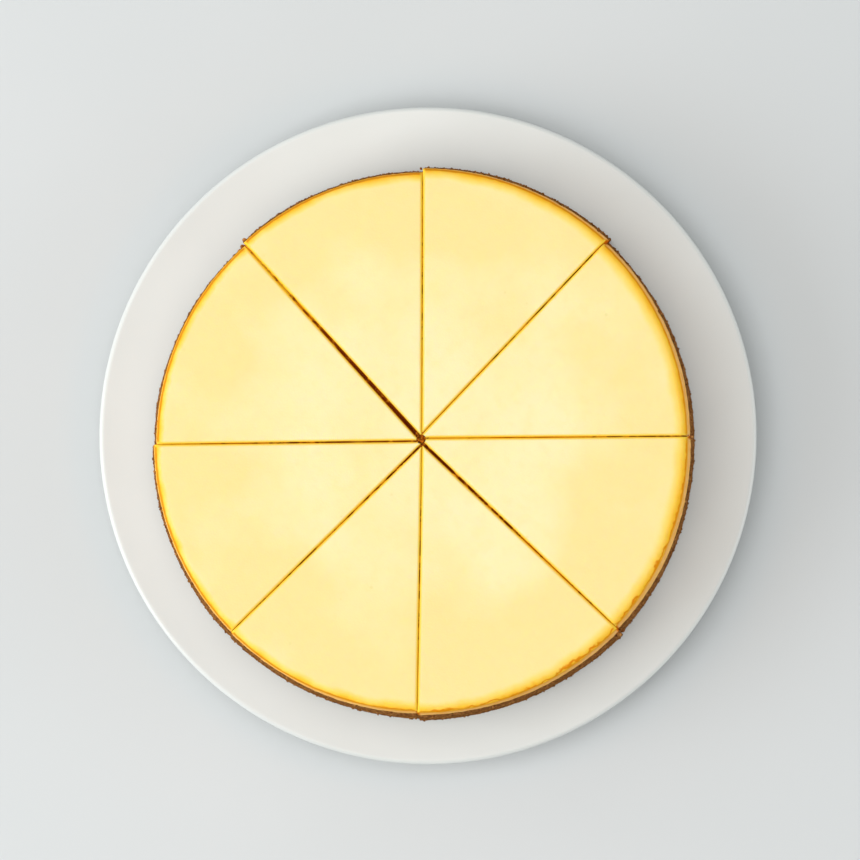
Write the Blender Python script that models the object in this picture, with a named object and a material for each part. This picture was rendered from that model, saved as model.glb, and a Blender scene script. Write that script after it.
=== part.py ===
"""Baked cheesecake cut into eight wedges, standing on its plain white plate.

Metres, +Z up. The origin is the centre of the plate's foot, on the table.
Each wedge is two solids: a tray of crumb crust, which is the base and a low side
wall, and the filling that sits in it. Both are swept round the hub from a section.
"""
from math import asin, cos, pi, radians, sin

import bmesh
import bpy

MM = 0.001
GAP = 0.3 * MM                 # air between solids that touch

# Plate
PLATE_RADIUS = 139.0 * MM
PLATE_HEIGHT = 18.0 * MM
PLATE_STEPS = 80
WELL_RADIUS = 120.5 * MM       # flat part that the cake stands on
WELL_TOP = 17.2 * MM
WELL_WALL = 4.5 * MM
LIP_RADIUS = 1.8 * MM          # half the thickness of the rounded edge
RISE_POWER = 2.2               # how late the rim turns up
RISE_STEPS = 6
LIP_STEPS = 4
FOOT_RADIUS = 84.0 * MM        # outer edge of the foot ring's flat face
FOOT_WIDTH = 6.0 * MM
FOOT_DRAFT = 1.5 * MM

# Cake as a whole
HUB = (-1.6 * MM, -2.9 * MM)   # where the cuts meet, a little off the plate's centre
REACH = 110.2 * MM             # mean radius at the top edge
CAKE_HEIGHT = 45.0 * MM
TOP_SINK = 1.2 * MM            # the middle is lower than the edge
SHOULDER_WIDTH = 3.0 * MM
SHOULDER_DROP = 2.6 * MM
SHOULDER_STEPS = 4
SIDE_FLARE = 4.5 * MM          # how much wider the bottom is than the top edge
TIP_WIDTH = 1.0 * MM           # the wedges' points are blunt
ARC_STEPS = 12
TOP_ROWS = (0.35, 0.7)         # extra rings on the top, as shares of the reach

# Crumb crust
BASE_THICKNESS = 7.0 * MM
RIM_HEIGHT = 20.5 * MM         # mean height of the side wall
RIM_LEAN = 6.5 * MM            # it was pressed up higher on one side
RIM_LEAN_BEARING = radians(228.0)
RIM_WAVE = 3.5 * MM            # and by hand, so its rim wanders
WALL_AT_BASE = 5.0 * MM
WALL_AT_RIM = 2.2 * MM
CRUST_PROUD = 0.4 * MM         # the wall stands out from the filling above it
PROUD_LEAN = 0.1 * MM          # more on one side
PROUD_LEAN_BEARING = radians(-45.0)
CRUST_WAVE = 0.25 * MM
FOOT_CHAMFER = 1.0 * MM

# Cuts, counter-clockwise from +X: bearing in degrees, how far the cut runs to the
# left of the hub, and its width at the hub and at the edge.
CUTS = (
    (0.4, 0.4 * MM, 0.7 * MM, 0.5 * MM),
    (46.4, 1.2 * MM, 0.5 * MM, 0.5 * MM),
    (89.8, -0.3 * MM, 0.4 * MM, 0.5 * MM),
    (132.2, 0.0 * MM, 2.0 * MM, 0.9 * MM),
    (180.7, 0.8 * MM, 0.9 * MM, 0.4 * MM),
    (224.5, 1.8 * MM, 0.9 * MM, 0.4 * MM),
    (269.0, 0.4 * MM, 0.5 * MM, 0.4 * MM),
    (316.4, -0.8 * MM, 1.4 * MM, 0.5 * MM),
)

# How far each wedge's edge stands beyond the mean reach, at its first and second cut.
WEDGE_OUT = (
    (-1.05 * MM, -0.1 * MM),
    (1.4 * MM, 1.3 * MM),
    (-0.4 * MM, -1.0 * MM),
    (-2.3 * MM, -1.25 * MM),
    (-0.3 * MM, 0.7 * MM),
    (1.0 * MM, 1.45 * MM),
    (2.1 * MM, 1.5 * MM),
    (0.65 * MM, -0.9 * MM),
)

FILLING_COLOUR = (0.96, 0.84, 0.47, 1.0)
CRUST_COLOUR = (0.24, 0.11, 0.04, 1.0)
PLATE_COLOUR = (0.86, 0.86, 0.84, 1.0)


def clear_scene():
    for obj in list(bpy.data.objects):
        bpy.data.objects.remove(obj, do_unlink=True)


def make_material(name, colour, roughness):
    material = bpy.data.materials.new(name)
    material.use_nodes = True
    shader = material.node_tree.nodes["Principled BSDF"]
    shader.inputs["Base Color"].default_value = colour
    shader.inputs["Roughness"].default_value = roughness
    shader.inputs["Metallic"].default_value = 0.0
    return material


def add_object(name, bm, material, parent):
    """Turn a finished bmesh into a smooth-shaded object."""
    bmesh.ops.recalc_face_normals(bm, faces=bm.faces)
    mesh = bpy.data.meshes.new(name)
    bm.to_mesh(mesh)
    bm.free()
    mesh.shade_smooth()
    mesh.set_sharp_from_angle(angle=radians(35))
    mesh.materials.append(material)
    obj = bpy.data.objects.new(name, mesh)
    bpy.context.collection.objects.link(obj)
    obj.parent = parent
    return obj


# ---------------------------------------------------------------- plate

def plate_section():
    """(radius, height) points from the middle of the top, over the rim, to the underside."""
    well_under = WELL_TOP - WELL_WALL
    lip_height = PLATE_HEIGHT - LIP_RADIUS
    lip_centre = PLATE_RADIUS - LIP_RADIUS
    top = [(0.0, WELL_TOP)]
    under = []
    for step in range(RISE_STEPS + 1):
        share = step / RISE_STEPS
        lift = share ** RISE_POWER
        radius = WELL_RADIUS + (lip_centre - WELL_RADIUS) * share
        top.append((radius, WELL_TOP + (PLATE_HEIGHT - WELL_TOP) * lift))
        rise_under = PLATE_HEIGHT - 2 * LIP_RADIUS - well_under
        under.append((radius, well_under + rise_under * lift))
    lip = []
    for step in range(1, LIP_STEPS):
        turn = pi / 2 - pi * step / LIP_STEPS
        lip.append((lip_centre + LIP_RADIUS * cos(turn), lip_height + LIP_RADIUS * sin(turn)))
    foot_inner = FOOT_RADIUS - FOOT_WIDTH
    foot = [
        (FOOT_RADIUS + FOOT_DRAFT, well_under),
        (FOOT_RADIUS, 0.0),
        (foot_inner, 0.0),
        (foot_inner - FOOT_DRAFT, well_under),
        (0.0, well_under),
    ]
    return top + lip + list(reversed(under)) + foot


def make_plate(material):
    bm = bmesh.new()
    rim = [bm.verts.new((radius, 0.0, height)) for radius, height in plate_section()]
    edges = [bm.edges.new(pair) for pair in zip(rim, rim[1:])]
    bmesh.ops.spin(
        bm,
        geom=rim + edges,
        cent=(0.0, 0.0, 0.0),
        axis=(0.0, 0.0, 1.0),
        angle=2 * pi,
        steps=PLATE_STEPS,
        use_merge=True,
    )
    bmesh.ops.remove_doubles(bm, verts=bm.verts, dist=0.01 * MM)
    return add_object("plate", bm, material, None)


# ---------------------------------------------------------------- cake

def cut_angle(cut, side, radius):
    """Angle at which one face of a cut lies, at a distance from the hub."""
    bearing, offset, width_in, width_out = cut
    width = width_in + (width_out - width_in) * radius / REACH
    return radians(bearing) + asin((offset + side * width / 2) / radius)


class Wedge:
    """One slice: the space between two cuts, out to its own edge."""

    def __init__(self, index):
        self.first = CUTS[index]
        self.second = CUTS[(index + 1) % len(CUTS)]
        self.turn = 2 * pi if index == len(CUTS) - 1 else 0.0
        self.out_first, self.out_second = WEDGE_OUT[index]
        self.tip = self.find_tip()

    def angle(self, share, radius):
        start = cut_angle(self.first, 1, radius)
        end = cut_angle(self.second, -1, radius) + self.turn
        return start + (end - start) * share

    def find_tip(self):
        """Distance from the hub at which the slice is as wide as its blunt point."""
        low = 3.0 * MM
        high = 30.0 * MM
        while high - low > 0.01 * MM:
            middle = (low + high) / 2
            width = middle * (self.angle(1.0, middle) - self.angle(0.0, middle))
            if width < TIP_WIDTH:
                low = middle
            else:
                high = middle
        return high

    def reach(self, share):
        return REACH + self.out_first + (self.out_second - self.out_first) * share

    def point(self, share, radius, height):
        turn = self.angle(share, radius)
        return (radius * cos(turn), radius * sin(turn), height)


def rim_height(bearing):
    """Height of the crust's side wall, uneven round the cake."""
    lean = RIM_LEAN * cos(bearing - RIM_LEAN_BEARING)
    wave = 0.5 * sin(5 * bearing + 1.0) + 0.3 * sin(9 * bearing + 2.2) + 0.2 * sin(17 * bearing)
    return RIM_HEIGHT + lean + RIM_WAVE * wave


def crust_proud(bearing):
    """How far the wall stands out from the filling above it."""
    lean = PROUD_LEAN * cos(bearing - PROUD_LEAN_BEARING)
    wave = 0.6 * sin(7 * bearing) + 0.4 * sin(15 * bearing + 0.8)
    return CRUST_PROUD + lean + CRUST_WAVE * wave


def side_radius(reach, height):
    return reach + SIDE_FLARE * (1.0 - height / CAKE_HEIGHT)


def top_height(radius):
    return CAKE_HEIGHT - TOP_SINK * max(0.0, 1.0 - (radius / REACH) ** 2)


def crust_section(wedge, share):
    """(radius, height) points round the L of base and side wall."""
    reach = wedge.reach(share)
    bearing = wedge.angle(share, reach)
    rim = rim_height(bearing)
    proud = crust_proud(bearing)
    foot = side_radius(reach, 0.0) + proud
    middle = rim / 2
    return [
        (wedge.tip, 0.0),
        (foot - FOOT_CHAMFER, 0.0),
        (foot, FOOT_CHAMFER),
        (side_radius(reach, middle) + proud, middle),
        (side_radius(reach, rim - FOOT_CHAMFER) + proud, rim - FOOT_CHAMFER),
        (side_radius(reach, rim), rim),
        (side_radius(reach, rim) - WALL_AT_RIM, rim),
        (side_radius(reach, BASE_THICKNESS) - WALL_AT_BASE, BASE_THICKNESS),
        (wedge.tip, BASE_THICKNESS),
    ]


def filling_section(wedge, share):
    """(radius, height) points round the filling: in the tray, over its rim, up to the top."""
    reach = wedge.reach(share)
    rim = rim_height(wedge.angle(share, reach))
    shoulder_foot = CAKE_HEIGHT - SHOULDER_DROP
    shoulder_top = top_height(reach - SHOULDER_WIDTH)
    middle = (rim + shoulder_foot) / 2
    section = [
        (wedge.tip, BASE_THICKNESS + GAP),
        (side_radius(reach, BASE_THICKNESS) - WALL_AT_BASE - GAP, BASE_THICKNESS + GAP),
        (side_radius(reach, rim) - WALL_AT_RIM - GAP, rim + GAP),
        (side_radius(reach, rim), rim + GAP),
        (side_radius(reach, middle), middle),
    ]
    for step in range(SHOULDER_STEPS + 1):
        turn = pi / 2 * step / SHOULDER_STEPS
        section.append((
            side_radius(reach, shoulder_foot) - SHOULDER_WIDTH * (1.0 - cos(turn)),
            shoulder_foot + (shoulder_top - shoulder_foot) * sin(turn),
        ))
    for row in reversed(TOP_ROWS):
        section.append((reach * row, top_height(reach * row)))
    section.append((wedge.tip, top_height(wedge.tip)))
    return section


def sweep(wedge, section):
    """Carry a section round the wedge, and close it at both cuts."""
    bm = bmesh.new()
    loops = []
    for step in range(ARC_STEPS + 1):
        share = step / ARC_STEPS
        points = [wedge.point(share, radius, height) for radius, height in section(wedge, share)]
        loops.append([bm.verts.new(point) for point in points])
    for near, far in zip(loops, loops[1:]):
        for index in range(len(near)):
            after = (index + 1) % len(near)
            bm.faces.new((near[index], near[after], far[after], far[index]))
    bm.faces.new(loops[0])
    bm.faces.new(loops[-1])
    return bm


def make_cake(filling_material, crust_material):
    hub = bpy.data.objects.new("hub", None)
    hub.location = (HUB[0], HUB[1], WELL_TOP + GAP)
    bpy.context.collection.objects.link(hub)
    for index in range(len(CUTS)):
        wedge = Wedge(index)
        number = index + 1
        add_object(f"crust_{number}", sweep(wedge, crust_section), crust_material, hub)
        add_object(f"filling_{number}", sweep(wedge, filling_section), filling_material, hub)


def main():
    clear_scene()
    filling_material = make_material("filling", FILLING_COLOUR, 0.45)
    crust_material = make_material("crust", CRUST_COLOUR, 0.9)
    plate_material = make_material("plate", PLATE_COLOUR, 0.12)
    make_plate(plate_material)
    make_cake(filling_material, crust_material)


main()
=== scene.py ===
"""Looks of a cut cheesecake on its plate: fine surfaces, crumbs, materials, light and camera.

Everything is in metres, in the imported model's frame. The slices follow the same rules as
their solids: each is swept round the hub, between two cuts and out to its own edge.
"""
from math import cos, pi, radians, sin

import bmesh
import bpy
import numpy as np
from mathutils import Matrix, Vector, noise


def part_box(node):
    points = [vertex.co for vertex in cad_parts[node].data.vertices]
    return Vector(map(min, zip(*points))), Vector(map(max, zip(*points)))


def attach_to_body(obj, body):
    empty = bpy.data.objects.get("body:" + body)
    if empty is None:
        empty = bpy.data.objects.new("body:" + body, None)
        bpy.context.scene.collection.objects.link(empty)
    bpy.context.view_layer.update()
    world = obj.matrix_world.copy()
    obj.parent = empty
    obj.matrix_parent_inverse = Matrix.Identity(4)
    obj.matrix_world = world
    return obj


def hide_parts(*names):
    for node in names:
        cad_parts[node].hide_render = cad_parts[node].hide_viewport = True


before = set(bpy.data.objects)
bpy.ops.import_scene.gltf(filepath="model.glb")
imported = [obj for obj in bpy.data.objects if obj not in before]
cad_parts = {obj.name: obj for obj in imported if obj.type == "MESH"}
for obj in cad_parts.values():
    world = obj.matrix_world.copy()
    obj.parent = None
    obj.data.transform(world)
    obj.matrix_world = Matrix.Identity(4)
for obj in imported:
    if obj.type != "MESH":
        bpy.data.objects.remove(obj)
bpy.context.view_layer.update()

MM = 0.001
FINE = 0.01 * MM               # lengths closer than this count as equal
GAP = 0.3 * MM                 # air between the crust and the filling

# Plate, as its solid has it
PLATE_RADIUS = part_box("plate")[1].x
PLATE_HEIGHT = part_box("plate")[1].z
WELL_RADIUS = 120.5 * MM
WELL_TOP = 17.2 * MM
WELL_WALL = 4.5 * MM
LIP_RADIUS = 1.8 * MM
RISE_POWER = 2.2
FOOT_RADIUS = 84.0 * MM
FOOT_WIDTH = 6.0 * MM
FOOT_DRAFT = 1.5 * MM
PLATE_STEPS = 288
RISE_STEPS = 24
LIP_STEPS = 12
WELL_ROWS = 10

# Cake, as its solids have it
HUB = Vector((-1.6, -2.9, 0.0)) * MM
CAKE_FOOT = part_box("crust_1")[0].z
REACH = 110.2 * MM             # mean radius at the top edge
CAKE_HEIGHT = 45.0 * MM
TOP_SINK = 1.2 * MM
SHOULDER_WIDTH = 3.0 * MM
SHOULDER_DROP = 2.6 * MM
SHOULDER_FOOT = CAKE_HEIGHT - SHOULDER_DROP
SIDE_FLARE = 4.5 * MM
TIP_WIDTH = 0.25 * MM          # sharper than the solids', which are blunt
TIP_SEARCH = (1.95 * MM, 30.0 * MM)
BASE_THICKNESS = 7.0 * MM
RIM_HEIGHT = 20.5 * MM
RIM_LEAN = 6.5 * MM
RIM_LEAN_BEARING = radians(228.0)
RIM_WAVE = 3.5 * MM
WALL_AT_BASE = 5.0 * MM
WALL_AT_RIM = 2.2 * MM
CRUST_PROUD = 0.4 * MM
PROUD_LEAN = 0.1 * MM
PROUD_LEAN_BEARING = radians(-45.0)
CRUST_WAVE = 0.25 * MM
FOOT_CHAMFER = 1.0 * MM

# Cuts, counter-clockwise from +X: bearing in degrees, how far the cut runs to the
# left of the hub, and its width at the hub and at the edge.
CUTS = (
    (0.4, 0.4 * MM, 0.7 * MM, 0.5 * MM),
    (46.4, 1.2 * MM, 0.5 * MM, 0.5 * MM),
    (89.8, -0.3 * MM, 0.4 * MM, 0.5 * MM),
    (132.2, 0.0 * MM, 2.0 * MM, 0.9 * MM),
    (180.7, 0.8 * MM, 0.9 * MM, 0.4 * MM),
    (224.5, 1.8 * MM, 0.9 * MM, 0.4 * MM),
    (269.0, 0.4 * MM, 0.5 * MM, 0.4 * MM),
    (316.4, -0.8 * MM, 1.4 * MM, 0.5 * MM),
)

# How far each slice's edge stands beyond the mean reach, at its first and second cut.
WEDGE_OUT = (
    (-1.05 * MM, -0.1 * MM),
    (1.4 * MM, 1.3 * MM),
    (-0.4 * MM, -1.0 * MM),
    (-2.3 * MM, -1.25 * MM),
    (-0.3 * MM, 0.7 * MM),
    (1.0 * MM, 1.45 * MM),
    (2.1 * MM, 1.5 * MM),
    (0.65 * MM, -0.9 * MM),
)

# How much brown crumb the knife left in each cut, from the hub (first) to the edge (last).
SMEARS = (
    (0.55, 0.30, 0.45, 0.85, 0.85),
    (0.40, 0.45, 0.75, 0.80, 0.70),
    (0.25, 0.45, 0.75, 0.55, 0.45),
    (0.95, 0.95, 0.85, 0.60, 0.60),
    (0.85, 0.90, 0.80, 0.60, 0.25),
    (0.85, 0.75, 0.65, 0.55, 0.55),
    (0.30, 0.70, 0.85, 0.55, 0.35),
    (0.95, 0.90, 0.80, 0.60, 0.45),
)

# How deep each cut stands open before its faces meet, in mm, from the hub to the edge.
DEPTHS = (
    (0.25, 0.50, 0.70, 0.35, 0.80),
    (0.40, 0.60, 0.60, 0.65, 0.80),
    (0.20, 0.25, 0.45, 0.40, 0.20),
    (2.40, 2.20, 1.10, 0.50, 0.55),
    (0.35, 0.50, 0.75, 0.70, 0.25),
    (0.80, 0.60, 0.50, 0.50, 0.40),
    (0.20, 0.30, 0.45, 0.40, 0.25),
    (2.20, 1.50, 1.10, 0.90, 0.55),
)

# Fine mesh of the slices
SHOULDER_ROWS = 10
BAND_ROWS = 12                 # inside the shoulder, where the browning fades
BAND_WIDTH = 10.0 * MM
TOP_ROWS = 66
EDGE_COLUMNS = (0.0, 0.12 * MM, 0.3 * MM, 0.6 * MM, 1.1 * MM, 1.8 * MM)
INNER_COLUMNS = 140
SQUEEZE_WIDTH = 8.0 * MM       # a slice narrower than this squeezes its edge columns
LEVELS = 22
LEVEL_POWER = 2.2              # levels crowd towards the top
CRUST_COLUMNS = 150
CRUST_SEAM = 0.10 * MM         # the crumb wall closes again behind the knife
CRUST_STEPS = (8, 3, 22, 22, 3, 5, 10, 8, 3)   # rows along each side of the crust's section
OUTSIDE = range(1, 5)          # those of its sides that form the uneven outer face

# Relief
SWELL = (0.16 * MM, 34.0 * MM)         # height and size of each kind of unevenness
RIPPLE = (0.035 * MM, 4.5 * MM)
CUT_ROUND = (0.45 * MM, 0.90 * MM)     # drop and width of the rounded edge along a cut
CUT_GRAIN = (0.12 * MM, 1.6 * MM)
SEAM = 0.04 * MM                       # the slices all but touch below this groove
GROOVE_SWING = (0.6, 7.0 * MM)         # how unevenly deep the cuts stand open, and how often
SIDE_GRAIN = (0.16 * MM, 2.6 * MM)
BLISTER = (0.55 * MM, 2.2 * MM)
PIT_LEVEL = 0.05                       # pits shallower than this don't show
SKIN_FADE = (1.0 * MM, 6.0 * MM)       # the uneven skin ends between these insets
SKIN_DEPTH = 0.3 * MM
BLISTER_BEARING = radians(-52.0)       # the skin wrinkled most here
BLISTER_SPREAD = radians(75.0)
BLISTER_DROP = 7.0 * MM
BAND_BEARING = radians(-8.0)           # and the golden band is widest here
BAND = (5.3, 2.2)                      # its width in mm: mean, and more on that side
LINE_INSET = (0.22, 0.42)              # of the golden line, in mm: mean, and more on one side
LINE_BEARING = radians(140.0)
CUT_FLANK = (0.3 * MM, 0.95 * MM)      # the cut's colour ends between these distances from it
SMEAR_FLANK = (0.05 * MM, 0.35 * MM)   # and the brown smears between these
CRUMB_COARSE = (0.55 * MM, 2.3 * MM)
CRUMB_FINE = (0.25 * MM, 1.0 * MM)

# Camera: above the cake, a little towards +X -Y
CAMERA_RISE = 1700.0 * MM
CAMERA_ASIDE = 61.0 * MM
CAMERA_BEARING = radians(-48.0)
CAMERA_AIM = (3.7 * MM, 3.7 * MM)      # from the hub, at the height of the cake's top
VIEW_WIDTH = 354.1 * MM                # across the picture, at that height
SENSOR_WIDTH = 36.0

# Studio
FLOOR_SIZE = 4.0
SKY_STRENGTH = 0.40
LIGHT_AIM = Vector((0.0, 0.0, 0.03))

# Square lights: name, place, width and power in watts
LIGHTS = (
    ("window", (-1.92, -0.52, 0.96), 1.6, 31.4),
    ("overhead", (-0.5, -0.1, 2.4), 2.2, 27.3),
    ("back", (-1.2, 1.2, 1.2), 1.5, 6.2),
    ("reflector", (1.5, -0.2, 0.6), 1.2, 6.0),
)


# ---------------------------------------------------------------- tools

def smooth_noise(points, size, seed=0.0):
    """Soft noise, about -1 to 1, at each point, in lumps of the given size."""
    places = points.reshape(-1, 3) / size + seed
    values = [noise.noise(place) for place in places.tolist()]
    return np.array(values).reshape(points.shape[:-1])


def grains(points, size, seed=0.0):
    """Rounded grains: 1 in the middle of each, falling to 0 between them."""
    places = points.reshape(-1, 3) / size + seed
    nearest = [noise.voronoi(place)[0][0] for place in places.tolist()]
    return 1.0 - np.clip(np.array(nearest).reshape(points.shape[:-1]), 0.0, 1.0)


def smooth_step(value, low, high):
    """0 up to the low value, 1 from the high one on, and soft between them."""
    share = np.clip((value - low) / (high - low), 0.0, 1.0)
    return share * share * (3.0 - 2.0 * share)


def quads(grid):
    """Faces between neighbouring points of a table of vertex numbers."""
    corners = (grid[:-1, :-1], grid[1:, :-1], grid[1:, 1:], grid[:-1, 1:])
    return np.stack(corners, axis=-1).reshape(-1, 4).tolist()


def add_mesh(name, points, faces, material, attributes=None, smooth_angle=50):
    """A mesh object with its faces turned outwards, shaded smooth up to an angle."""
    mesh = bpy.data.meshes.new(name)
    mesh.from_pydata(points.tolist(), [], faces)
    for key, values in (attributes or {}).items():
        layer = mesh.attributes.new(key, "FLOAT", "POINT")
        layer.data.foreach_set("value", np.ascontiguousarray(values, dtype=np.float32))
    bm = bmesh.new()
    bm.from_mesh(mesh)
    bmesh.ops.recalc_face_normals(bm, faces=bm.faces)
    bm.to_mesh(mesh)
    bm.free()
    if smooth_angle:
        mesh.shade_smooth()
        mesh.set_sharp_from_angle(angle=radians(smooth_angle))
    mesh.materials.append(material)
    obj = bpy.data.objects.new(name, mesh)
    bpy.context.collection.objects.link(obj)
    return obj


# ---------------------------------------------------------------- shader tools

def srgb(red, green, blue):
    """A colour as seen on a screen, 0 to 255, as the linear one that shaders take."""
    def linear(value):
        share = value / 255.0
        return share / 12.92 if share <= 0.04045 else ((share + 0.055) / 1.055) ** 2.4
    return (linear(red), linear(green), linear(blue), 1.0)


def new_material(name):
    material = bpy.data.materials.new(name)
    material.use_nodes = True
    tree = material.node_tree
    return material, tree, tree.nodes["Principled BSDF"]


def add_node(tree, kind, inputs=None, **settings):
    """One shader node, with its settings, and values or other nodes' outputs as inputs."""
    node = tree.nodes.new("ShaderNode" + kind)
    for key, value in settings.items():
        setattr(node, key, value)
    for key, value in (inputs or {}).items():
        connect(tree, value, node.inputs[key])
    return node


def connect(tree, value, socket):
    if isinstance(value, bpy.types.NodeSocket):
        tree.links.new(value, socket)
    else:
        socket.default_value = value


def object_coords(tree):
    return add_node(tree, "TexCoord").outputs["Object"]


def attribute(tree, name):
    return add_node(tree, "Attribute", attribute_name=name).outputs["Fac"]


def math_node(tree, operation, first, second=0.0, third=0.0):
    node = add_node(tree, "Math", {0: first, 1: second, 2: third}, operation=operation)
    return node.outputs[0]


def remap(tree, value, low, high, to_low=0.0, to_high=1.0):
    """A value carried softly from one range to another, and held at its ends."""
    inputs = {"Value": value, "From Min": low, "From Max": high, "To Min": to_low, "To Max": to_high}
    return add_node(tree, "MapRange", inputs, interpolation_type="SMOOTHSTEP").outputs["Result"]


def mix_colour(tree, factor, first, second, blend="MIX"):
    node = add_node(tree, "Mix", {0: factor, 6: first, 7: second}, data_type="RGBA", blend_type=blend)
    return node.outputs[2]


def ramp(tree, factor, stops):
    """Colours along a value from 0 to 1."""
    node = add_node(tree, "ValToRGB", {"Fac": factor})
    elements = node.color_ramp.elements
    while len(elements) > 1:
        elements.remove(elements[-1])
    elements[0].position = stops[0][0]
    elements[0].color = stops[0][1]
    for position, colour in stops[1:]:
        elements.new(position).color = colour
    return node.outputs["Color"]


def noise_texture(tree, coords, size, detail=2.0, roughness=0.5):
    inputs = {"Vector": coords, "Scale": 1.0 / size, "Detail": detail, "Roughness": roughness}
    return add_node(tree, "TexNoise", inputs).outputs["Fac"]


def cells(tree, coords, size):
    """Distance to the nearest cell's middle, in cell sizes, and each cell's own colour."""
    node = add_node(tree, "TexVoronoi", {"Vector": coords, "Scale": 1.0 / size})
    return node.outputs["Distance"], node.outputs["Color"]


def bump(tree, height, distance, strength=1.0):
    inputs = {"Height": height, "Distance": distance, "Strength": strength}
    return add_node(tree, "Bump", inputs).outputs["Normal"]


# ---------------------------------------------------------------- materials

def filling_material():
    """Baked cream cheese: pale and smooth, golden at the rim, deep yellow in the cuts, painted darker
    down into them as shade.
    """
    material, tree, shader = new_material("baked_filling")
    coords = object_coords(tree)

    from_hub = add_node(tree, "VectorMath", {0: coords, 1: (HUB.x, HUB.y, CAKE_FOOT + CAKE_HEIGHT)},
                        operation="DISTANCE").outputs["Value"]
    outer = remap(tree, from_hub, 50 * MM, 95 * MM)
    cloud = noise_texture(tree, coords, 36 * MM, detail=2.0)
    patchy = math_node(tree, "MULTIPLY_ADD", outer, 0.35, cloud)
    top = ramp(tree, patchy, [
        (0.36, srgb(252, 234, 184)),
        (0.55, srgb(252, 231, 174)),
        (0.80, srgb(252, 225, 158)),
    ])
    mottle = noise_texture(tree, coords, 5 * MM, detail=3.0)
    top = mix_colour(tree, remap(tree, mottle, 0.45, 0.8, 0.0, 0.25), top, srgb(251, 221, 148))

    speck_distance, speck_colour = cells(tree, coords, 11 * MM)
    chosen = add_node(tree, "SeparateColor", {"Color": speck_colour}).outputs["Red"]
    speck = remap(tree, speck_distance, 0.09, 0.04)
    speck = math_node(tree, "MULTIPLY", speck, remap(tree, chosen, 0.55, 0.75, 0.0, 0.5))
    top = mix_colour(tree, speck, top, srgb(232, 218, 150))

    inset = attribute(tree, "inset")
    wander = noise_texture(tree, coords, 11 * MM, detail=3.0)
    reach_in = math_node(tree, "ADD", inset, remap(tree, wander, 0.3, 0.7, -0.5, 0.5))
    edge = math_node(tree, "DIVIDE", reach_in, attribute(tree, "band"))
    browned = ramp(tree, edge, [
        (0.00, srgb(250, 180, 42)),
        (0.16, srgb(254, 196, 60)),
        (0.38, srgb(254, 211, 98)),
        (0.65, srgb(253, 221, 136)),
        (1.00, srgb(252, 229, 166)),
    ])
    colour = mix_colour(tree, remap(tree, edge, 0.55, 1.0), browned, top)

    twist = noise_texture(tree, coords, 5.0 * MM, detail=2.0)
    wrinkle = attribute(tree, "wrinkle")
    swing = math_node(tree, "MULTIPLY", remap(tree, twist, 0.35, 0.75, 0.0, 1.9), wrinkle)
    off_line = math_node(tree, "ABSOLUTE", math_node(tree, "SUBTRACT", inset, swing))
    line = remap(tree, off_line, 0.75, 0.15, 0.0, 0.95)
    # Painted shade: the golden line is painted darker on the side the window lights, to offset the
    # stronger light there.
    painted_shade_on_lit_side = remap(tree, attribute(tree, "band"), 6.5, 3.5)
    line_colour = mix_colour(tree, painted_shade_on_lit_side, srgb(228, 140, 18), srgb(206, 132, 30))
    colour = mix_colour(tree, line, colour, line_colour)

    streaks = noise_texture(tree, coords, 3 * MM, detail=4.0)
    side = ramp(tree, streaks, [
        (0.30, srgb(238, 160, 80)),
        (0.55, srgb(248, 180, 96)),
        (0.75, srgb(254, 202, 122)),
    ])
    side_drop = attribute(tree, "side")
    side = mix_colour(tree, remap(tree, side_drop, 1.0, 10.0), srgb(238, 160, 46), side)
    colour = mix_colour(tree, remap(tree, side_drop, 0.0, 0.5), colour, side)

    # Painted shade: the cut faces go from deep yellow at the top to orange-brown deeper down, standing
    # in for the shade inside the narrow cuts.
    depth = attribute(tree, "depth")
    cut = ramp(tree, math_node(tree, "DIVIDE", depth, 5.0), [
        (0.00, srgb(250, 204, 66)),
        (0.06, srgb(246, 178, 36)),
        (0.16, srgb(238, 150, 22)),
        (1.00, srgb(206, 102, 16)),
    ])
    colour = mix_colour(tree, attribute(tree, "cut"), colour, cut)

    smear = attribute(tree, "smear")
    dashes = noise_texture(tree, coords, 4.0 * MM, detail=3.0, roughness=0.62)
    amount = math_node(tree, "ADD", math_node(tree, "MULTIPLY", smear, 0.6), dashes)
    crumbs = math_node(tree, "MULTIPLY", remap(tree, amount, 0.90, 1.00), remap(tree, smear, 0.02, 0.2))
    crumbs = math_node(tree, "MULTIPLY", crumbs, remap(tree, depth, 0.03, 0.35, 0.15, 1.0))
    colour = mix_colour(tree, crumbs, colour, srgb(158, 68, 12))
    tree.links.new(colour, shader.inputs["Base Color"])

    rough = noise_texture(tree, coords, 2.5 * MM, detail=3.0)
    tree.links.new(remap(tree, rough, 0.3, 0.7, 0.42, 0.58), shader.inputs["Roughness"])
    shader.inputs["Specular IOR Level"].default_value = 0.0
    shader.inputs["Subsurface Weight"].default_value = 0.5
    shader.inputs["Subsurface Radius"].default_value = (1.0, 0.62, 0.2)
    shader.inputs["Subsurface Scale"].default_value = 2.5 * MM
    pores = noise_texture(tree, coords, 0.9 * MM, detail=2.0)
    tree.links.new(bump(tree, pores, 0.05 * MM), shader.inputs["Normal"])
    return material


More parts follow.
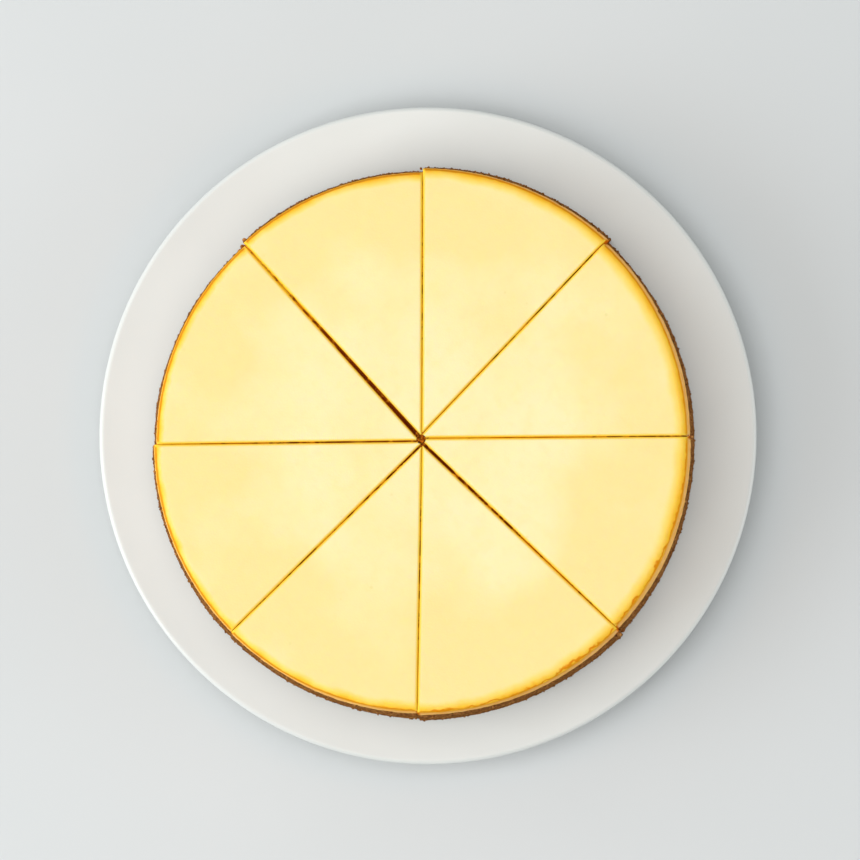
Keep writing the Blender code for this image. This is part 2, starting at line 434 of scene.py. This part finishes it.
def crust_material(name, use_tone=False, tint=None):
    """Pressed biscuit crumb: dry, rough, brown grains, each of its own shade or tone."""
    material, tree, shader = new_material(name)
    coords = object_coords(tree)
    grain_distance, grain_colour = cells(tree, coords, 1.1 * MM)
    shade = add_node(tree, "SeparateColor", {"Color": grain_colour}).outputs["Green"]
    dust = noise_texture(tree, coords, 0.5 * MM, detail=3.0)
    if use_tone:
        uneven = math_node(tree, "MULTIPLY", dust, 0.25)
        value = math_node(tree, "MULTIPLY_ADD", attribute(tree, "tone"), 0.75, uneven)
    else:
        uneven = math_node(tree, "MULTIPLY", noise_texture(tree, coords, 9 * MM, detail=3.0), 0.45)
        value = math_node(tree, "MULTIPLY_ADD", shade, 0.40, uneven)
    colour = ramp(tree, value, [
        (0.05, srgb(84, 48, 24)),
        (0.35, srgb(132, 84, 44)),
        (0.60, srgb(166, 114, 62)),
        (0.92, srgb(216, 166, 98)),
    ])
    gaps = remap(tree, grain_distance, 0.35, 0.75, 0.0, 0.55)
    colour = mix_colour(tree, gaps, colour, srgb(60, 32, 14))
    colour = mix_colour(tree, remap(tree, dust, 0.35, 0.75, 0.0, 0.35), colour, srgb(168, 118, 66))
    if tint:
        colour = mix_colour(tree, 1.0, colour, tint, "MULTIPLY")
    tree.links.new(colour, shader.inputs["Base Color"])
    tree.links.new(remap(tree, dust, 0.3, 0.7, 0.82, 0.97), shader.inputs["Roughness"])
    shader.inputs["Specular IOR Level"].default_value = 0.0
    height = math_node(tree, "SUBTRACT", dust, math_node(tree, "MULTIPLY", grain_distance, 0.8))
    tree.links.new(bump(tree, height, 0.25 * MM, 0.8), shader.inputs["Normal"])
    return material


def plate_material():
    """Plain white glaze with the slight unevenness of fired ware."""
    material, tree, shader = new_material("white_glaze")
    coords = object_coords(tree)
    cloud = noise_texture(tree, coords, 60 * MM, detail=2.0)
    colour = ramp(tree, cloud, [
        (0.30, srgb(216, 220, 217)),
        (0.70, srgb(220, 224, 221)),
    ])
    specks = noise_texture(tree, coords, 1.4 * MM, detail=2.0)
    colour = mix_colour(tree, remap(tree, specks, 0.68, 0.8, 0.0, 0.10), colour, srgb(200, 200, 194))
    tree.links.new(colour, shader.inputs["Base Color"])
    rough = noise_texture(tree, coords, 25 * MM, detail=2.0)
    tree.links.new(remap(tree, rough, 0.3, 0.7, 0.28, 0.35), shader.inputs["Roughness"])
    shader.inputs["IOR"].default_value = 1.5
    wave = noise_texture(tree, coords, 18 * MM, detail=1.0)
    tree.links.new(bump(tree, wave, 0.05 * MM), shader.inputs["Normal"])
    return material


def floor_material():
    """Pale, dull stone without veins."""
    material, tree, shader = new_material("pale_floor")
    coords = object_coords(tree)
    cloud = noise_texture(tree, coords, 300 * MM, detail=3.0)
    colour = ramp(tree, cloud, [
        (0.30, srgb(206, 210, 210)),
        (0.70, srgb(211, 214, 214)),
    ])
    tree.links.new(colour, shader.inputs["Base Color"])
    shader.inputs["Roughness"].default_value = 0.7
    shader.inputs["Specular IOR Level"].default_value = 0.2
    return material


# ---------------------------------------------------------------- slices

def cut_width(cut, radius):
    """Width of a cut at a distance from the hub."""
    return cut[2] + (cut[3] - cut[2]) * radius / REACH


def cut_angle(cut, side, radius, width=None):
    """Angle at which one face of a cut lies, at a distance from the hub."""
    bearing, offset = cut[:2]
    half = (cut_width(cut, radius) if width is None else width) / 2
    return radians(bearing) + np.arcsin((offset + side * half) / radius)


class Wedge:
    """One slice: the space between two cuts, out to its own edge."""

    def __init__(self, index):
        self.index = index
        self.first = CUTS[index]
        self.second = CUTS[(index + 1) % len(CUTS)]
        self.turn = 2 * pi if index == len(CUTS) - 1 else 0.0
        self.out_first, self.out_second = WEDGE_OUT[index]
        self.tip = self.find_tip()

    def start(self, radius, width=None):
        return cut_angle(self.first, 1, radius, width)

    def end(self, radius, width=None):
        return cut_angle(self.second, -1, radius, width) + self.turn

    def width(self, radius):
        return radius * (self.end(radius) - self.start(radius))

    def find_tip(self):
        """Distance from the hub at which the slice is as wide as its blunt point."""
        low, high = TIP_SEARCH
        while high - low > FINE:
            middle = (low + high) / 2
            if not self.width(middle) >= TIP_WIDTH:
                low = middle
            else:
                high = middle
        return high

    def reach(self, share):
        return REACH + self.out_first + (self.out_second - self.out_first) * share


def rim_height(bearing):
    """Height of the crust's side wall, uneven round the cake."""
    lean = RIM_LEAN * np.cos(bearing - RIM_LEAN_BEARING)
    wave = 0.5 * np.sin(5 * bearing + 1.0) + 0.3 * np.sin(9 * bearing + 2.2)
    return RIM_HEIGHT + lean + RIM_WAVE * (wave + 0.2 * np.sin(17 * bearing))


def crust_proud(bearing):
    """How far the crust's wall stands out from the filling above it."""
    lean = PROUD_LEAN * np.cos(bearing - PROUD_LEAN_BEARING)
    wave = 0.6 * np.sin(7 * bearing) + 0.4 * np.sin(15 * bearing + 0.8)
    return CRUST_PROUD + lean + CRUST_WAVE * wave


def side_radius(reach, height):
    """Distance to the hub of the cake's side, which flares towards its foot."""
    return reach + SIDE_FLARE * (1.0 - height / CAKE_HEIGHT)


def top_height(radius):
    """Height of the cake's top, which sank a little in the middle."""
    return CAKE_HEIGHT - TOP_SINK * np.maximum(0.0, 1.0 - (radius / REACH) ** 2)


def place(radius, angle, height):
    """Points in the frame, from distance to the hub, angle and height above the cake's foot."""
    across = HUB.x + radius * np.cos(angle)
    along = HUB.y + radius * np.sin(angle)
    return np.stack([across, along, CAKE_FOOT + height + np.zeros_like(radius)], axis=-1)


def near_bearing(angle, bearing, spread):
    """1 at a bearing, falling to 0 over the spread on both sides."""
    off = np.abs((angle - bearing + pi) % (2 * pi) - pi)
    return smooth_step(-off, -spread, 0.0)


def column_table():
    """Each column's distance from the first cut, as a fixed part and a share of the width."""
    near = np.array(EDGE_COLUMNS)
    share = np.linspace(0.0, 1.0, INNER_COLUMNS + 2)[1:-1]
    fixed = np.concatenate([near, near[-1] * (1.0 - 2.0 * share), -near[::-1]])
    spread = np.concatenate([np.zeros(len(near)), share, np.ones(len(near))])
    return fixed, spread


def cut_distance(wedge, radius, fixed, spread):
    """Distance from the first cut, and from the nearer one."""
    width = wedge.width(radius)
    squeeze = np.minimum(1.0, width / SQUEEZE_WIDTH)
    distance = fixed * squeeze + spread * width
    return distance, np.minimum(distance, width - distance)


def filling_rows(wedge, reach):
    """Distance to the hub and height of the top's rows (from the tip out), for each column."""
    edge = side_radius(reach, SHOULDER_FOOT)
    turns = np.linspace(pi / 2, 0.0, SHOULDER_ROWS + 1)[:, None]
    shoulder = edge - SHOULDER_WIDTH * (1.0 - np.cos(turns))
    crest = top_height(reach - SHOULDER_WIDTH)
    shoulder_height = SHOULDER_FOOT + (crest - SHOULDER_FOOT) * np.sin(turns)
    band = shoulder[0] - np.linspace(BAND_WIDTH, 0.0, BAND_ROWS + 1)[:-1, None]
    shares = np.linspace(0.0, 1.0, TOP_ROWS + 1)[:-1, None]
    top = wedge.tip + (band[0] - wedge.tip) * shares
    flat = np.concatenate([top, band])
    radius = np.concatenate([flat, shoulder])
    height = np.concatenate([top_height(flat), shoulder_height])
    return radius, height, edge


def tray_height(reach, rim, radius):
    """Height of the filling's underside: flat in the tray, up its wall, over its rim."""
    floor = BASE_THICKNESS + GAP
    wall_foot = side_radius(reach, BASE_THICKNESS) - WALL_AT_BASE - GAP
    wall_top = side_radius(reach, rim) - WALL_AT_RIM - GAP
    share = np.clip((radius - wall_foot) / (wall_top - wall_foot), 0.0, 1.0)
    return floor + (rim + GAP - floor) * share


def top_relief(points):
    """Slight unevenness of the baked top."""
    return (SWELL[0] * smooth_noise(points, SWELL[1], seed=3.0)
            + RIPPLE[0] * smooth_noise(points, RIPPLE[1], seed=7.0))


def shell_faces(number, flat_rows):
    """Faces of a slice's outside, from its table of vertex numbers by row, column and level.

    The underside's first rows are flat, and are closed with a single face.
    """
    sheets = (number[:, :, 0], number[0], number[-1], number[:, 0], number[:, -1],
              number[flat_rows:, :, -1])
    faces = []
    for sheet in sheets:
        faces += quads(sheet)
    bottom = number[:flat_rows + 1, :, -1]
    loop = np.concatenate([bottom[:-1, 0], bottom[-1, :-1], bottom[:0:-1, -1], bottom[0, :0:-1]])
    faces.append(loop.tolist())
    return faces


def along_cuts(table, wedge, share, by_first):
    """A table's value for the nearer cut, at a share of the way from the hub to the edge."""
    marks = np.linspace(0.0, 1.0, len(table[0]))
    first = np.interp(share, marks, table[wedge.index])
    second = np.interp(share, marks, table[(wedge.index + 1) % len(table)])
    return np.where(by_first, first, second)


def filling_slice(index, material):
    """A slice of filling, as a block of points of which only the outside is kept."""
    wedge = Wedge(index)
    fixed, spread = column_table()
    outer_share = (fixed / wedge.width(REACH) + spread)[None, :]
    reach = wedge.reach(outer_share)
    radius, height, edge = filling_rows(wedge, reach)
    distance, near_cut = cut_distance(wedge, radius, fixed, spread)
    angle = wedge.start(radius) + distance / radius
    height = height + top_relief(place(radius, angle, height))
    height = height - CUT_ROUND[0] * np.clip(1.0 - near_cut / CUT_ROUND[1], 0.0, 1.0) ** 2

    # Down to the underside, level by level
    rim = rim_height(wedge.start(reach) + (wedge.end(reach) - wedge.start(reach)) * outer_share)
    share = np.linspace(0.0, 1.0, LEVELS + 1)[None, None, :] ** LEVEL_POWER
    under = tray_height(reach, rim, radius * side_radius(reach, rim) / edge)
    level = height[..., None] + (under - height)[..., None] * share
    lower = np.minimum(level, SHOULDER_FOOT)
    spread_out = side_radius(reach[..., None], lower) / edge[..., None]
    block = radius[..., None] * spread_out
    distance, near = cut_distance(wedge, block, fixed[None, :, None], spread[None, :, None])

    shell = np.zeros(block.shape, bool)
    shell[:, :, 0] = True
    shell[[0, -1]] = True
    shell[:, [0, -1]] = True
    flat_rows = int(np.argmax((under > BASE_THICKNESS + GAP + FINE).any(axis=1))) - 1
    shell[flat_rows:, :, -1] = True
    number = np.full(block.shape, -1)
    number[shell] = np.arange(int(shell.sum()))

    columns = block.shape[1]
    column = np.broadcast_to(np.arange(columns)[None, :, None], block.shape)[shell]
    r = block[shell]
    a = (wedge.start(block) + distance / block)[shell]
    z = level[shell]
    near = near[shell]
    inset = np.broadcast_to((edge - radius)[..., None], block.shape)[shell]
    depth = (height[..., None] - level)[shell]
    on_cut = (column == 0) | (column == columns - 1)
    below = np.clip(SHOULDER_FOOT - z, 0.0, None)
    on_side = (inset < FINE) & (below > 0)
    points = place(r, a, z)

    # Uneven skin on the side, pitted where it wrinkled
    skin = smooth_step(-inset, -SKIN_FADE[1], -SKIN_FADE[0])
    skin = np.where(on_side, 1.0, skin * smooth_step(-depth, -SKIN_DEPTH, 0.0))
    wrinkled = near_bearing(a, BLISTER_BEARING, BLISTER_SPREAD)
    wrinkled = wrinkled * smooth_step(-below, -BLISTER_DROP, 0.0)
    push = SIDE_GRAIN[0] * smooth_noise(points, SIDE_GRAIN[1], seed=11.0)
    pits = smooth_noise(points, BLISTER[1], seed=19.0)
    push = push - BLISTER[0] * wrinkled * np.clip(pits - PIT_LEVEL, 0.0, 1.0)
    push = push * skin
    r = r + push
    z = z + np.where(on_side, 0.0, 0.5 * push)

    # Cut faces, which close again below an open groove
    by_first = column < columns / 2
    inward = np.where(by_first, 1.0, -1.0)
    along = np.clip(r / REACH, 0.0, 1.0)
    gap = np.where(by_first, cut_width(wedge.first, r), cut_width(wedge.second, r))
    groove = along_cuts(DEPTHS, wedge, along, by_first) * MM
    groove = groove * (1.0 + GROOVE_SWING[0] * smooth_noise(points, GROOVE_SWING[1], seed=31.0))
    close = (gap - SEAM) / 2 * smooth_step(depth / groove, 0.1, 1.0)
    close = close * np.clip(1.0 - near / EDGE_COLUMNS[-1], 0.0, 1.0)
    carve = CUT_GRAIN[0] * np.abs(smooth_noise(points, CUT_GRAIN[1], seed=23.0))
    carve = carve * smooth_step(depth, 0.0, SKIN_DEPTH) * on_cut
    a = a + inward * (carve - close) / r

    flank = smooth_step(-near, -CUT_FLANK[1], -CUT_FLANK[0])
    smear_flank = smooth_step(-near, -SMEAR_FLANK[1], -SMEAR_FLANK[0])
    attributes = {
        "inset": inset / MM - LINE_INSET[0] - LINE_INSET[1] * np.cos(a - LINE_BEARING),
        "band": BAND[0] + BAND[1] * np.cos(a - BAND_BEARING),
        "wrinkle": wrinkled,
        "side": np.where(on_side, below / MM, 0.0),
        "depth": depth / MM,
        "cut": np.where(on_cut, 1.0, flank),
        "smear": along_cuts(SMEARS, wedge, along, by_first) * np.where(on_cut, 1.0, smear_flank),
    }
    name = f"filling_slice_{index + 1}"
    return add_mesh(name, place(r, a, z), shell_faces(number, flat_rows), material, attributes)


def crust_corners(wedge, share):
    """The crust's section as (distance to the hub, height) corners, one array entry a column."""
    reach = wedge.reach(share)
    bearing = wedge.start(reach) + (wedge.end(reach) - wedge.start(reach)) * share
    rim = rim_height(bearing)
    proud = crust_proud(bearing)
    foot = side_radius(reach, 0.0) + proud
    middle = rim / 2
    flat = np.zeros_like(reach)
    return [
        (flat + wedge.tip, flat),
        (foot - FOOT_CHAMFER, flat),
        (foot, flat + FOOT_CHAMFER),
        (side_radius(reach, middle) + proud, middle),
        (side_radius(reach, rim - FOOT_CHAMFER) + proud, rim - FOOT_CHAMFER),
        (side_radius(reach, rim), rim),
        (side_radius(reach, rim) - WALL_AT_RIM, rim),
        (side_radius(reach, BASE_THICKNESS) - WALL_AT_BASE, flat + BASE_THICKNESS),
        (flat + wedge.tip, flat + BASE_THICKNESS),
    ]


def crust_slice(index, material):
    """A slice of crust: its section, swept from one cut to the other."""
    wedge = Wedge(index)
    share = np.linspace(0.0, 1.0, CRUST_COLUMNS + 1)
    corners = crust_corners(wedge, share)
    radius = []
    height = []
    outside = []
    for side, steps in enumerate(CRUST_STEPS):
        near = corners[side]
        far = corners[(side + 1) % len(corners)]
        for step in range(steps):
            part = step / steps
            radius.append(near[0] + (far[0] - near[0]) * part)
            height.append(near[1] + (far[1] - near[1]) * part)
            outside.append(1.0 if side in OUTSIDE else 0.0)
    radius = np.array(radius)
    height = np.array(height)
    outside = np.array(outside)[:, None]
    start = wedge.start(radius, CRUST_SEAM)
    angle = start + (wedge.end(radius, CRUST_SEAM) - start) * share[None, :]
    points = place(radius, angle, height)
    lump = CRUMB_COARSE[0] * (grains(points, CRUMB_COARSE[1]) - 0.55)
    lump = lump + CRUMB_FINE[0] * (grains(points, CRUMB_FINE[1], seed=5.0) - 0.5)
    above_foot = smooth_step(height, 0.0, 2.0 * MM)
    radius = radius + lump * outside * (0.4 + 0.6 * above_foot)
    points = place(radius, angle, height).reshape(-1, 3)

    number = np.arange(radius.size).reshape(radius.shape)
    faces = quads(np.concatenate([number, number[:1]]))
    faces.append(number[:, 0].tolist())
    faces.append(number[:, -1].tolist())
    return add_mesh(f"crust_slice_{index + 1}", points, faces, material, smooth_angle=60)


# ---------------------------------------------------------------- crumbs

def crumb_shapes(subdivisions):
    """Corners and triangles of a round crumb, before it is made uneven."""
    bm = bmesh.new()
    bmesh.ops.create_icosphere(bm, subdivisions=subdivisions, radius=1.0)
    corners = np.array([vert.co[:] for vert in bm.verts])
    triangles = np.array([[vert.index for vert in face.verts] for face in bm.faces])
    bm.free()
    return corners, triangles


def random_turn(rng):
    """A rotation matrix with every direction equally likely."""
    matrix, upper = np.linalg.qr(rng.normal(size=(3, 3)))
    return matrix * np.sign(np.diag(upper))


class CrumbHeap:
    """Uneven crumbs gathered into one mesh."""

    def __init__(self, seed):
        self.rng = np.random.default_rng(seed)
        self.small = crumb_shapes(1)
        self.large = crumb_shapes(2)
        self.points = []
        self.faces = []
        self.tones = []
        self.count = 0

    def add(self, spot, size, tone=None):
        """A crumb of the given width, at a point in the frame."""
        corners, triangles = self.large if size > LARGE_CRUMB else self.small
        swell = self.rng.uniform(0.72, 1.15, len(corners))[:, None]
        stretch = self.rng.uniform(0.65, 1.0, 3)
        shape = (corners * swell * stretch) @ random_turn(self.rng).T
        self.points.append(shape * size / 2 + np.array(spot))
        self.faces.append(triangles + self.count)
        shade = self.rng.uniform(0.1, 0.8) if tone is None else tone
        self.tones.append(np.full(len(corners), shade))
        self.count += len(corners)

    def finish(self, name, material):
        points = np.concatenate(self.points)
        faces = np.concatenate(self.faces).tolist()
        tones = {"tone": np.concatenate(self.tones)}
        return add_mesh(name, points, faces, material, tones, smooth_angle=0)


CRUMBS_PER_SLICE = 330
CRUMB_SIZES = (0.45 * MM, 1.5 * MM)
LARGE_CRUMB = 1.1 * MM         # one above this size gets the finer shape
RIM_SHARE = 0.45               # of the crumbs, at the rim
FOOT_SHARE = 0.20              # and at the foot
WALL_SEED = 11
CUT_SEED = 29
SLICE_SLACK = 0.02             # how far off a slice a crumb in a cut may lie, as a share of it

# Larger crumbs that stand out from the wall: bearing in degrees, distance beyond the
# slice's edge, drop below the cake's top, size, and tone from dark (0) to pale (1).
STANDING_CRUMBS = (
    (0.75, 0.6 * MM, 1.8 * MM, 1.4 * MM, 0.95),
    (0.60, 3.0 * MM, 21.0 * MM, 2.0 * MM, 0.95),
    (315.4, 3.6 * MM, 24.0 * MM, 2.3 * MM, 0.90),
    (316.6, 3.6 * MM, 25.0 * MM, 1.8 * MM, 0.45),
    (131.6, 1.4 * MM, 8.0 * MM, 2.0 * MM, 0.75),
    (132.9, 1.6 * MM, 10.0 * MM, 2.0 * MM, 0.60),
    (134.0, 1.4 * MM, 12.0 * MM, 1.5 * MM, 0.85),
    (135.6, 1.2 * MM, 14.0 * MM, 1.4 * MM, 0.60),
    (90.2, 1.6 * MM, 17.0 * MM, 1.5 * MM, 0.35),
    (66.0, 2.6 * MM, 24.0 * MM, 1.6 * MM, 0.40),
    (59.7, 2.8 * MM, 25.0 * MM, 1.7 * MM, 0.30),
    (53.5, 2.8 * MM, 25.0 * MM, 1.6 * MM, 0.45),
    (50.0, 2.9 * MM, 24.0 * MM, 1.5 * MM, 0.35),
    (47.8, 3.0 * MM, 23.0 * MM, 1.7 * MM, 0.50),
    (28.4, 3.0 * MM, 25.0 * MM, 2.2 * MM, 0.40),
    (201.9, 1.8 * MM, 14.0 * MM, 1.9 * MM, 0.35),
    (176.0, 1.4 * MM, 11.0 * MM, 1.3 * MM, 0.55),
    (187.0, 1.3 * MM, 11.0 * MM, 1.4 * MM, 0.60),
    (189.5, 1.3 * MM, 12.0 * MM, 1.2 * MM, 0.45),
    (218.0, 1.7 * MM, 15.0 * MM, 1.3 * MM, 0.50),
    (222.0, 1.8 * MM, 16.0 * MM, 1.4 * MM, 0.40),
    (268.6, 2.4 * MM, 20.0 * MM, 1.7 * MM, 0.50),
)


def slice_at(bearing):
    """The slice that lies at a bearing, and the share of the way across it."""
    for index in range(len(CUTS)):
        wedge = Wedge(index)
        for turn in (0.0, 2 * pi):
            share = (bearing + turn - wedge.start(REACH)) / (wedge.end(REACH) - wedge.start(REACH))
            if -SLICE_SLACK <= share <= 1.0 + SLICE_SLACK:
                return wedge, min(1.0, max(0.0, share))
    return Wedge(0), 0.0


def wall_crumbs(material):
    """Crumbs stuck to the crust's wall, thickest at its rim and at its foot."""
    heap = CrumbHeap(WALL_SEED)
    rng = heap.rng
    for index in range(len(CUTS)):
        wedge = Wedge(index)
        for step in range(CRUMBS_PER_SLICE):
            share = rng.uniform(0.0, 1.0)
            reach = wedge.reach(share)
            bearing = wedge.start(reach) + (wedge.end(reach) - wedge.start(reach)) * share
            rim = rim_height(bearing)
            kind = rng.uniform()
            if kind < RIM_SHARE:
                height = rim + rng.normal(-0.3 * MM, 0.5 * MM)
            elif kind < RIM_SHARE + FOOT_SHARE:
                height = abs(rng.normal(0.0, 1.2 * MM)) + 0.5 * MM
            else:
                height = rng.uniform(1.0 * MM, float(rim))
            proud = crust_proud(bearing) if height < rim - 0.8 * MM else 0.0
            smallest, largest = CRUMB_SIZES
            size = rng.uniform(0.0, 1.0) ** 2.2 * (largest - smallest) + smallest
            radius = side_radius(reach, height) + proud
            height = max(height, size / 2)
            heap.add(place(np.float64(radius), bearing, height), size)
    for bearing, beyond, drop, size, tone in STANDING_CRUMBS:
        wedge, share = slice_at(radians(bearing))
        radius = wedge.reach(share) + beyond
        heap.add(place(np.float64(radius), radians(bearing), CAKE_HEIGHT - drop), size, tone)
    return heap.finish("crust_crumbs", material)


CUT_CRUMBS = 34                # in each cut, at most
HUB_CRUMBS = 170               # where the cuts meet
HUB_OPENING = 3.4 * MM


def cut_crumbs(material):
    """Brown crumbs that the knife dragged up into the cuts."""
    heap = CrumbHeap(CUT_SEED)
    rng = heap.rng
    marks = np.linspace(0.0, 1.0, len(SMEARS[0]))
    for cut, smears in zip(CUTS, SMEARS):
        for step in range(CUT_CRUMBS):
            along = rng.uniform(0.06, 0.985)
            if rng.uniform() > np.interp(along, marks, smears) ** 2:
                continue
            radius = along * REACH
            side = rng.choice((-1, 1))
            angle = cut_angle(cut, side, radius)
            height = top_height(radius) - abs(rng.normal(0.0, 1.4 * MM)) - 0.35 * MM
            size = rng.uniform(0.25 * MM, 0.6 * MM)
            heap.add(place(np.float64(radius), angle, height), size, rng.uniform(0.25, 0.75))
    for step in range(HUB_CRUMBS):
        turn = rng.uniform(0.0, 2 * pi)
        radius = HUB_OPENING * rng.uniform() ** 0.5
        height = CAKE_HEIGHT - TOP_SINK - rng.uniform(0.7 * MM, 2.2 * MM)
        size = rng.uniform(0.7 * MM, 1.2 * MM)
        heap.add(place(np.float64(radius), turn, height), size, rng.uniform(0.85, 1.2))
    return heap.finish("cut_crumbs", material)


# ---------------------------------------------------------------- plate

def plate_section():
    """(radius, height) points from the middle of the top, over the rim, to the underside."""
    well_under = WELL_TOP - WELL_WALL
    lip_height = PLATE_HEIGHT - LIP_RADIUS
    lip_centre = PLATE_RADIUS - LIP_RADIUS
    top = [(WELL_RADIUS * row / WELL_ROWS, WELL_TOP) for row in range(WELL_ROWS)]
    under = []
    for step in range(RISE_STEPS + 1):
        share = step / RISE_STEPS
        lift = share ** RISE_POWER
        radius = WELL_RADIUS + (lip_centre - WELL_RADIUS) * share
        top.append((radius, WELL_TOP + (PLATE_HEIGHT - WELL_TOP) * lift))
        under.append((radius, well_under + (PLATE_HEIGHT - 2 * LIP_RADIUS - well_under) * lift))
    lip = []
    for step in range(1, LIP_STEPS):
        turn = pi / 2 - pi * step / LIP_STEPS
        lip.append((lip_centre + LIP_RADIUS * cos(turn), lip_height + LIP_RADIUS * sin(turn)))
    foot_inner = FOOT_RADIUS - FOOT_WIDTH
    foot = [
        (FOOT_RADIUS + FOOT_DRAFT, well_under),
        (FOOT_RADIUS, 0.0),
        (foot_inner, 0.0),
        (foot_inner - FOOT_DRAFT, well_under),
        (0.0, well_under),
    ]
    return top + lip + list(reversed(under)) + foot


def plate(material):
    """The plate: its section, turned round its middle."""
    section = np.array(plate_section())
    turns = np.linspace(0.0, 2 * pi, PLATE_STEPS, endpoint=False)
    radius, height = (column[:, None] for column in section[1:-1].T)
    rings = np.stack([radius * np.cos(turns), radius * np.sin(turns),
                      height + np.zeros_like(turns)], axis=-1)
    middles = [(0.0, 0.0, section[0, 1]), (0.0, 0.0, section[-1, 1])]
    points = np.concatenate([rings.reshape(-1, 3), middles])

    number = np.arange(len(points) - 2).reshape(-1, PLATE_STEPS)
    number = np.concatenate([number, number[:, :1]], axis=1)
    faces = quads(number)
    for middle, ring in ((len(points) - 2, number[0]), (len(points) - 1, number[-1])):
        faces += [[middle, *pair] for pair in zip(ring[:-1].tolist(), ring[1:].tolist())]
    return add_mesh("plate_glazed", points, faces, material, smooth_angle=35)


# ---------------------------------------------------------------- stage

def add_floor(material):
    bpy.ops.mesh.primitive_plane_add(size=FLOOR_SIZE)
    floor = bpy.context.object
    floor.name = "floor"
    floor.data.materials.append(material)


def add_light(name, spot, size, power):
    """A soft square light that faces the cake."""
    light = bpy.data.lights.new(name, "AREA")
    light.size = size
    light.energy = power
    obj = bpy.data.objects.new(name, light)
    obj.location = spot
    facing = LIGHT_AIM - Vector(spot)
    obj.rotation_euler = facing.to_track_quat("-Z", "Y").to_euler()
    bpy.context.collection.objects.link(obj)


def add_studio():
    """An even white sky and the soft lights."""
    world = bpy.data.worlds.new("studio")
    world.use_nodes = True
    background = world.node_tree.nodes["Background"]
    background.inputs["Color"].default_value = (1.0, 1.0, 1.0, 1.0)
    background.inputs["Strength"].default_value = SKY_STRENGTH
    bpy.context.scene.world = world
    for light in LIGHTS:
        add_light(*light)


def add_camera():
    """The camera looks down at the cake, with +Y upwards in the picture."""
    top = CAKE_FOOT + CAKE_HEIGHT
    aside = Vector((cos(CAMERA_BEARING), sin(CAMERA_BEARING), 0.0)) * CAMERA_ASIDE
    spot = HUB + aside + Vector((0.0, 0.0, top + CAMERA_RISE))
    aim = HUB + Vector((CAMERA_AIM[0], CAMERA_AIM[1], top))
    back = (spot - aim).normalized()
    right = Vector((0.0, 1.0, 0.0)).cross(back).normalized()
    up = back.cross(right)
    camera = bpy.data.cameras.new("camera")
    camera.sensor_width = SENSOR_WIDTH
    camera.lens = SENSOR_WIDTH * (spot - aim).length / VIEW_WIDTH
    obj = bpy.data.objects.new("camera", camera)
    obj.matrix_world = Matrix((
        (right.x, up.x, back.x, spot.x),
        (right.y, up.y, back.y, spot.y),
        (right.z, up.z, back.z, spot.z),
        (0.0, 0.0, 0.0, 1.0),
    ))
    bpy.context.collection.objects.link(obj)
    bpy.context.scene.camera = obj


# ---------------------------------------------------------------- all together

def attach(piece, slot, *nodes):
    """Put a piece on the one body, in place of its solids; its slot is not used."""
    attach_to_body(piece, "root")
    if nodes:
        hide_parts(*nodes)


def main():
    filling = filling_material()
    crust = crust_material("crumb_crust")
    crumb = crust_material("loose_crumb", use_tone=True)
    sticky = crust_material("sticky_crumb", use_tone=True, tint=srgb(255, 192, 96))
    attach(plate(plate_material()), "plate", "plate")
    for index in range(len(CUTS)):
        attach(filling_slice(index, filling), "filling", f"filling_{index + 1}")
        attach(crust_slice(index, crust), "crust", f"crust_{index + 1}")
    attach(wall_crumbs(crumb), "crust")
    attach(cut_crumbs(sticky), "crust")
    add_floor(floor_material())
    add_studio()
    add_camera()
    bpy.context.scene.view_settings.view_transform = "Standard"
    bpy.context.scene.cycles.use_denoising = True


main()
